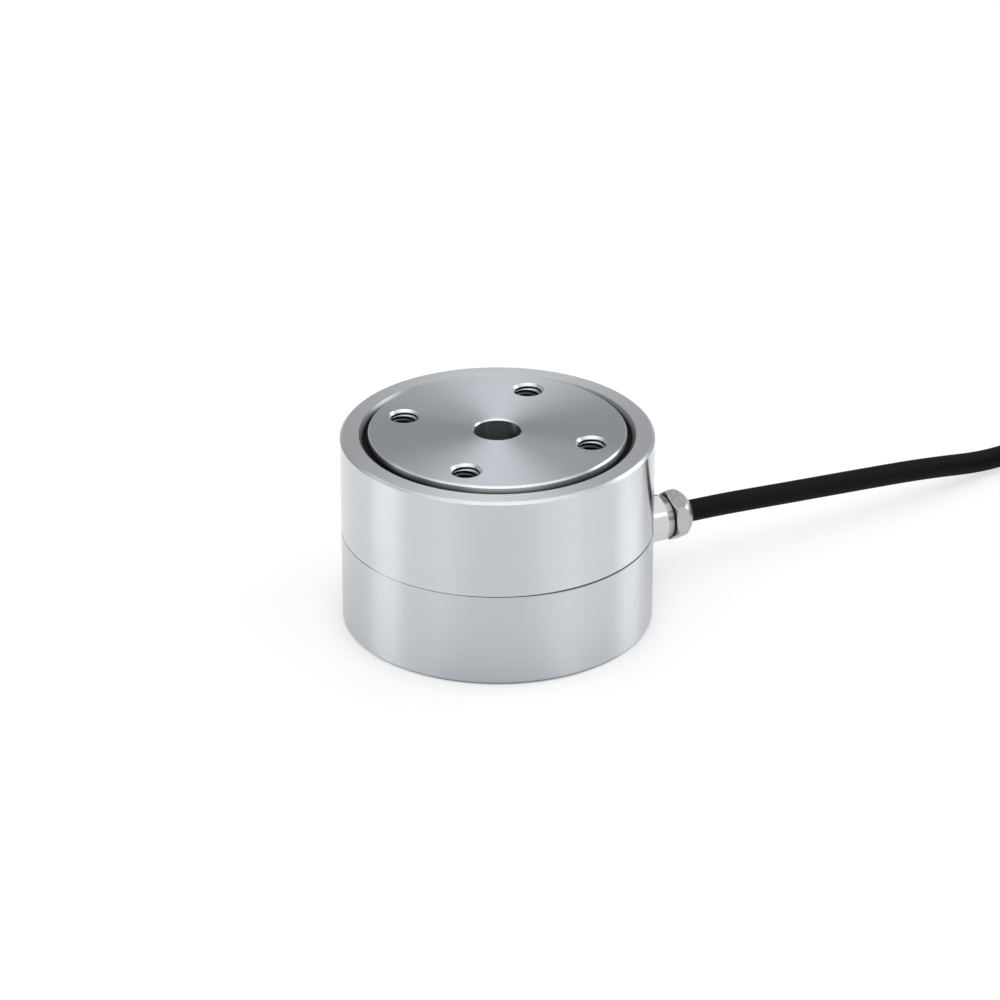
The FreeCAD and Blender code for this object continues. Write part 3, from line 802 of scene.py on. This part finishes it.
class LOADCELL_OT_stage(Operator):
    """Camera, pale floor and soft studio light"""

    bl_idname = "loadcell.stage"
    bl_label = "Set the Stage"

    def execute(self, context):
        stage = context.scene.load_cell.stage
        self.camera(context.scene, stage)
        self.world(context.scene, stage)
        self.floor(context.scene, stage)
        self.tent(context.scene, stage)
        self.lamps(context.scene, stage)
        context.scene.view_settings.view_transform = "Standard"
        return {"FINISHED"}

    def camera(self, scene, stage):
        data = bpy.data.cameras.new("camera")
        data.lens = stage.lens
        data.sensor_width = SENSOR_WIDTH
        data.shift_x, data.shift_y = CAMERA_SHIFT
        camera = bpy.data.objects.new("camera", data)
        target = Vector((0, 0, TARGET_Z))
        level = math.cos(stage.elevation)
        back = Vector(
            (math.sin(stage.azimuth) * level, -math.cos(stage.azimuth) * level, math.sin(stage.elevation))
        )
        camera.location = target + back * stage.distance
        camera.rotation_euler = (math.pi / 2 - stage.elevation, 0, stage.azimuth)
        scene.collection.objects.link(camera)
        scene.camera = camera

    def seen(self, g):
        """1 for rays that show the background: camera, glossy and transmission rays."""
        camera = g.node("ShaderNodeLightPath", output="Is Camera Ray")
        glossy = g.node("ShaderNodeLightPath", output="Is Glossy Ray")
        clear = g.node("ShaderNodeLightPath", output="Is Transmission Ray")
        return camera.larger(glossy).larger(clear)

    def world(self, scene, stage):
        world = bpy.data.worlds.new("studio")
        scene.world = world
        g = Graph(world)
        seen = self.seen(g)
        strength = seen + (1 - seen) * stage.ambient
        light = g.node("ShaderNodeBackground", None, {"Color": WHITE, "Strength": strength})
        g.node("ShaderNodeOutputWorld", None, {"Surface": light})

    def floor(self, scene, stage):
        """Matt and pale, white far from the part for rays that show the background, with painted shade ahead
        of the part and deeper at its foot that only reflections show.
        """
        reach = FLOOR_REACH
        corners = [(-reach, -reach, 0), (reach, -reach, 0), (reach, reach, 0), (-reach, reach, 0)]
        mesh = mesh_from("floor", corners, [(0, 1, 2, 3)])
        floor = bpy.data.objects.new("floor", mesh)
        material, g = new_material("pale_floor")
        x, y, _, vector = g.place()
        tone = g.grain(vector, 3.0)
        colour = g.blend(tone, shade(stage.floor, 0.99), shade(stage.floor, 1.01))
        radius = diagonal(x, y)
        camera = g.node("ShaderNodeLightPath", output="Is Camera Ray")
        clear = camera * radius.window(*FLOOR_FADE) + (1 - camera) * radius.window(*REFLECTED_FADE)
        glossy = g.node("ShaderNodeLightPath", output="Is Glossy Ray")
        ahead = (x * math.sin(stage.azimuth) - y * math.cos(stage.azimuth)) / radius
        # Painted shade on the floor ahead of the part, in reflections only, deeper at the foot
        dim = glossy * ahead.window(0.85, 1.0) * (0.2 - radius.window(*FOOT_FADE) * 0.08)
        matt = g.node("ShaderNodeBsdfDiffuse", None, {"Color": g.blend(dim, colour, BLACK)})
        shine = g.node("ShaderNodeBsdfGlossy", None, {"Color": WHITE, "Roughness": 0.35})
        table = g.node("ShaderNodeMixShader", None, {0: glossy * 0.2, 1: matt, 2: shine})
        white = g.node("ShaderNodeEmission", None, {"Color": WHITE, "Strength": 1.0})
        mixed = g.node("ShaderNodeMixShader", None, {0: self.seen(g) * clear * 0.65, 1: table, 2: white})
        g.node("ShaderNodeOutputMaterial", None, {"Surface": mixed})
        put_finish(floor, material)
        scene.collection.objects.link(floor)

    def tent(self, scene, stage):
        """Grey tent all round, which shows only in the metal."""
        shell = bmesh.new()
        bmesh.ops.create_uvsphere(shell, u_segments=48, v_segments=24, radius=TENT_RADIUS)
        mesh = bpy.data.meshes.new("tent")
        shell.to_mesh(mesh)
        shell.free()
        tent = bpy.data.objects.new("tent", mesh)
        material, g = new_material("grey_tent")
        grey = g.node("ShaderNodeEmission", None, {"Color": WHITE, "Strength": stage.tent})
        g.node("ShaderNodeOutputMaterial", None, {"Surface": grey})
        put_finish(tent, material)
        tent.visible_camera = False
        tent.visible_diffuse = False
        tent.visible_shadow = False
        scene.collection.objects.link(tent)

    def lamps(self, scene, stage):
        """Softboxes all round, placed as the camera sees the part."""
        turn = Matrix.Rotation(stage.azimuth, 4, "Z")
        for name, place, facing, size, power in SOFTBOXES:
            data = bpy.data.lights.new(name, "AREA")
            data.shape = "RECTANGLE"
            data.size, data.size_y = size
            data.energy = power
            lamp = bpy.data.objects.new(name, data)
            aim = (Vector(facing) - Vector(place)).to_track_quat("-Z", "Y")
            lamp.matrix_world = turn @ Matrix.Translation(place) @ aim.to_matrix().to_4x4()
            lamp.visible_camera = False
            scene.collection.objects.link(lamp)


class LOADCELL_OT_bundle(Operator):
    """Nylon tie round the coil and the shrink sleeve on the cable's end"""

    bl_idname = "loadcell.bundle"
    bl_label = "Tie the Coil"

    def execute(self, context):
        cable = context.scene.load_cell.cable
        coil = Coil(cable)
        nylon = moulded_finish(
            "tie_nylon", TIE_BLACK, roughness=0.42, grain_per_metre=1400.0, depth=4e-5
        )
        parts = [self.strap(coil, cable), self.head(coil, cable), self.tail(coil, cable)]
        add_piece("tie", mesh_from("tie", *joined(parts)), "tie_nylon", nylon, "cable_tie")
        shrink = moulded_finish(
            "shrink_sleeve", SHRINK_BLACK, roughness=0.5, grain_per_metre=900.0, depth=8e-5
        )
        sleeve = mesh_from("end_sleeve", *self.end_sleeve(coil, cable))
        add_piece("end_sleeve", sleeve, "shrink_sleeve", shrink, "cable_end_sleeve")
        return {"FINISHED"}

    def strap_top(self, cable):
        """Height of the strap's outside over the top row, as lifted by the strap below."""
        return cable.diameter + (COIL_ROWS - 1) * cable.rise + 2 * cable.tie_thick + TIE_ROOM

    def strap(self, coil, cable):
        """A flat band, round the hull of the turns at the bundle's corners."""
        low = cable.diameter / 2 + cable.tie_thick
        high = low + (COIL_ROWS - 1) * cable.rise
        wide = (cable.turns - 1) / 2 * cable.pitch
        narrow = (cable.turns - COIL_ROWS) / 2 * cable.pitch
        corners = [(-wide, low), (wide, low), (-narrow, high), (narrow, high)]
        inside = cable.diameter / 2 + TIE_ROOM
        outside = inside + cable.tie_thick
        half = cable.tie_width / 2
        edge = cable.tie_thick * 0.3
        section = (
            (-half, inside),
            (-half, outside - edge),
            (-half + edge, outside),
            (half - edge, outside),
            (half, outside - edge),
            (half, inside),
        )
        rings = []
        steps = 120
        for step in range(steps):
            angle = step * math.tau / steps
            out, up = math.cos(angle), math.sin(angle)
            side, height = max(corners, key=lambda corner: corner[0] * out + corner[1] * up)
            ring = []
            for along, reach in section:
                radius = cable.mean_radius + side + reach * out
                ring.append(coil.beside(TIE_ANGLE, radius, max(0.0, height + reach * up), along))
            rings.append(ring)
        return swept(rings, closed=True)

    def head(self, coil, cable):
        """The lock that the strap runs through."""
        low = self.strap_top(cable) - cable.tie_thick / 2
        high = TIE_TOP
        size = (cable.tie_width, cable.tie_width, high - low)
        middle = coil.point(TIE_ANGLE, cable.mean_radius, (low + high) / 2)
        turn = Matrix.Rotation(coil.entry - math.radians(TIE_ANGLE), 4, "Z")
        return block(size, cable.tie_thick / 2, Matrix.Translation(middle) @ turn)

    def tail(self, coil, cable):
        """The strap's free end, cut off short, with its row of teeth on top."""
        low = self.strap_top(cable) + TIE_TAIL_ROOM
        half = cable.tie_width / 2 - TIE_TAIL_ROOM
        steps = 24
        rings = []
        for step in range(steps + 1):
            radius = cable.mean_radius + TIE_TAIL * step / steps
            lift = TIE_TAIL_CURL * (step / steps) ** 2
            thick = cable.tie_thick * (1.0 if step % 2 else TIE_TOOTH)
            section = ((-half, 0.0), (-half, thick), (half, thick), (half, 0.0))
            rings.append([coil.beside(TIE_ANGLE, radius, low + lift + up, along) for along, up in section])
        return swept(rings)

    def end_sleeve(self, coil, cable):
        """Shrunk tight over the jacket's end and over the leads beyond it."""
        track_r = coil.tracks()[-1][0] + END_SHIFT
        start_z = coil.tracks()[-1][1] + END_LIFT
        sides = 24
        rings = []
        for along, radius, drop in SLEEVE_STATIONS:
            angle = END_ANGLE + math.degrees(along / track_r)
            ring = []
            for k in range(sides):
                turn = k * math.tau / sides
                height = start_z - drop + radius * math.sin(turn)
                ring.append(coil.point(angle, track_r + radius * math.cos(turn), height))
            rings.append(ring)
        return swept(rings)


class LOADCELL_OT_cable(Operator):
    """Black cable from the gland to the coil, in one line"""

    bl_idname = "loadcell.cable"
    bl_label = "Lay the Cable"

    def execute(self, context):
        cable = context.scene.load_cell.cable
        curve = bpy.data.curves.new("cable", "CURVE")
        curve.dimensions = "3D"
        points = [Vector(point) for point in ROUTE] + Coil(cable).winding()
        spline = curve.splines.new("NURBS")
        spline.points.add(len(points) - 1)
        for slot, point in zip(spline.points, points):
            slot.co = (*point, 1.0)
        spline.order_u = 3
        spline.use_endpoint_u = True
        spline.resolution_u = 6
        curve.bevel_depth = cable.diameter / 2
        curve.bevel_resolution = 6
        curve.use_fill_caps = True
        material = moulded_finish(
            "cable_jacket", cable.jacket, roughness=0.65, grain_per_metre=2600.0, depth=3e-5, specular=0.1
        )
        piece = add_piece("cable", curve, "cable_jacket", material, "cable_run", "cable_coil")
        return {"FINISHED"}


class LOADCELL_OT_body(Operator):
    """Turned, polished and ground steel of the body"""

    bl_idname = "loadcell.body"
    bl_label = "Finish the Body"

    def execute(self, context):
        steel = context.scene.load_cell.steel
        flange = turned_finish(
            "turned_steel",
            steel.flange,
            roughness=0.37,
            anisotropic=0.85,
            lines=(6000.0, 6e-6),
            tones=flange_tones,
            edge=(1.2, 0.274),
        )
        sleeve = turned_finish(
            "polished_steel",
            steel.sleeve,
            roughness=0.18,
            anisotropic=0.7,
            lines=(2500.0, 2e-7),
            tones=rim_tones,
            face=(1.1, 0.26),
            edge=(1.0, 0.36),
        )
        housing = turned_finish(
            "ground_steel",
            steel.housing,
            roughness=0.24,
            anisotropic=0.7,
            lines=(2500.0, 3e-7),
            tones=joint_tones,
        )
        finish_nodes(flange, "sensing_column")
        finish_nodes(sleeve, "upper_sleeve")
        finish_nodes(housing, "base_housing")
        seal = moulded_finish(
            "seal_rubber", SEAL_BLACK, roughness=0.7, grain_per_metre=1500.0, depth=4e-5, specular=0.15
        )
        finish_nodes(seal, "flange_seal", "sleeve_o_ring", "gland_gasket", "gland_grommet")
        return {"FINISHED"}


class LOADCELL_OT_threads(Operator):
    """Thread ridges in the tapped holes of both faces"""

    bl_idname = "loadcell.threads"
    bl_label = "Cut the Threads"

    def execute(self, context):
        settings = context.scene.load_cell
        steel = turned_finish(
            "thread_steel",
            settings.steel.flange,
            roughness=0.3,
            anisotropic=0.0,
            lines=(6000.0, 2e-6),
            tones=thread_tones,
        )
        patterns = (("flange_threads", "flange_bolts", math.pi / 4), ("base_threads", "base_bolts", 0.0))
        for name, mount_name, start in patterns:
            mount = MOUNTS[mount_name]
            wall_r = mount["dims"]["hole_r_mm"] * MM
            crest_r = wall_r - settings.threads.height
            ridges = [
                helix_ridge(wall_r, crest_r, settings.threads.pitch, THREAD_LENGTH, place)
                for place in hole_places(mount, start)
            ]
            add_piece(name, mesh_from(name, *joined(ridges)), "turned_steel", steel)
        return {"FINISHED"}


class LOADCELL_OT_gland(Operator):
    """Plated gland body, and the duller nut on it"""

    bl_idname = "loadcell.gland"
    bl_label = "Finish the Gland"

    def execute(self, context):
        steel = context.scene.load_cell.steel
        nickel = plated_finish("nickel_plate", steel.nickel, 0.2, tones=hexagon_tones)
        dull = plated_finish("dull_nickel", steel.nut, 0.33, 0.00003, nut_tones)
        finish_nodes(nickel, "gland_body", "gland_washer")
        finish_nodes(dull, "gland_nut")
        return {"FINISHED"}


class LOADCELL_OT_inner(Operator):
    """Sealed pieces inside the body, and the leads at the cable's end"""

    bl_idname = "loadcell.inner"
    bl_label = "Finish Inner Pieces"

    def execute(self, context):
        colours = {material["slot"]: material["base_color"] for material in frame["record"]["materials"]}
        metals = {"copper": 0.3, "screw_steel": 0.28, "tinned_copper": 0.35}
        plastics = {"spacer_nylon": 0.5, "resistor_body": 0.25}
        plastics |= {slot: 0.38 for slot in colours if slot.startswith("insulation")}
        finishes = {slot: plated_finish(slot, colours[slot], rough) for slot, rough in metals.items()}
        for slot, rough in plastics.items():
            finishes[slot] = moulded_finish(slot, colours[slot], rough, grain_per_metre=2400.0, depth=2e-5)
        board = "board_laminate"
        finishes[board] = board_finish(board, colours[board], colours["copper"])
        finishes["gauge_film"] = gauge_finish("gauge_film", colours["gauge_film"])
        for part in frame["record"]["subparts"]:
            if part["material_slot"] in finishes:
                finish_nodes(finishes[part["material_slot"]], part["node"])
        return {"FINISHED"}


class LOADCELL_PT_panel(Panel):
    """Sizes, colours and the operators in their order"""

    bl_idname = "LOADCELL_PT_panel"
    bl_label = "Column Load Cell"
    bl_space_type = "VIEW_3D"
    bl_region_type = "UI"
    bl_category = "Load Cell"

    def draw(self, context):
        settings = context.scene.load_cell
        for group in (settings.stage, settings.cable, settings.steel, settings.threads):
            box = self.layout.box()
            for name in group.bl_rna.properties.keys():
                if name not in ("rna_type", "name"):
                    box.prop(group, name)
        for operator in OPERATORS:
            self.layout.operator(operator.bl_idname)


GROUPS = (CableSettings, SteelSettings, ThreadSettings, StageSettings, LoadCellSettings)
OPERATORS = (
    LOADCELL_OT_stage,
    LOADCELL_OT_bundle,
    LOADCELL_OT_cable,
    LOADCELL_OT_body,
    LOADCELL_OT_threads,
    LOADCELL_OT_gland,
    LOADCELL_OT_inner,
)


def register():
    for kind in (*GROUPS, *OPERATORS, LOADCELL_PT_panel):
        bpy.utils.register_class(kind)
    bpy.types.Scene.load_cell = PointerProperty(type=LoadCellSettings)


def unregister():
    del bpy.types.Scene.load_cell
    for kind in reversed((*GROUPS, *OPERATORS, LOADCELL_PT_panel)):
        bpy.utils.unregister_class(kind)


def main():
    register()
    bpy.ops.loadcell.stage()
    bpy.ops.loadcell.bundle()
    bpy.ops.loadcell.cable()
    bpy.ops.loadcell.body()
    bpy.ops.loadcell.threads()
    bpy.ops.loadcell.gland()
    bpy.ops.loadcell.inner()


if __name__ == "__main__":
    main()
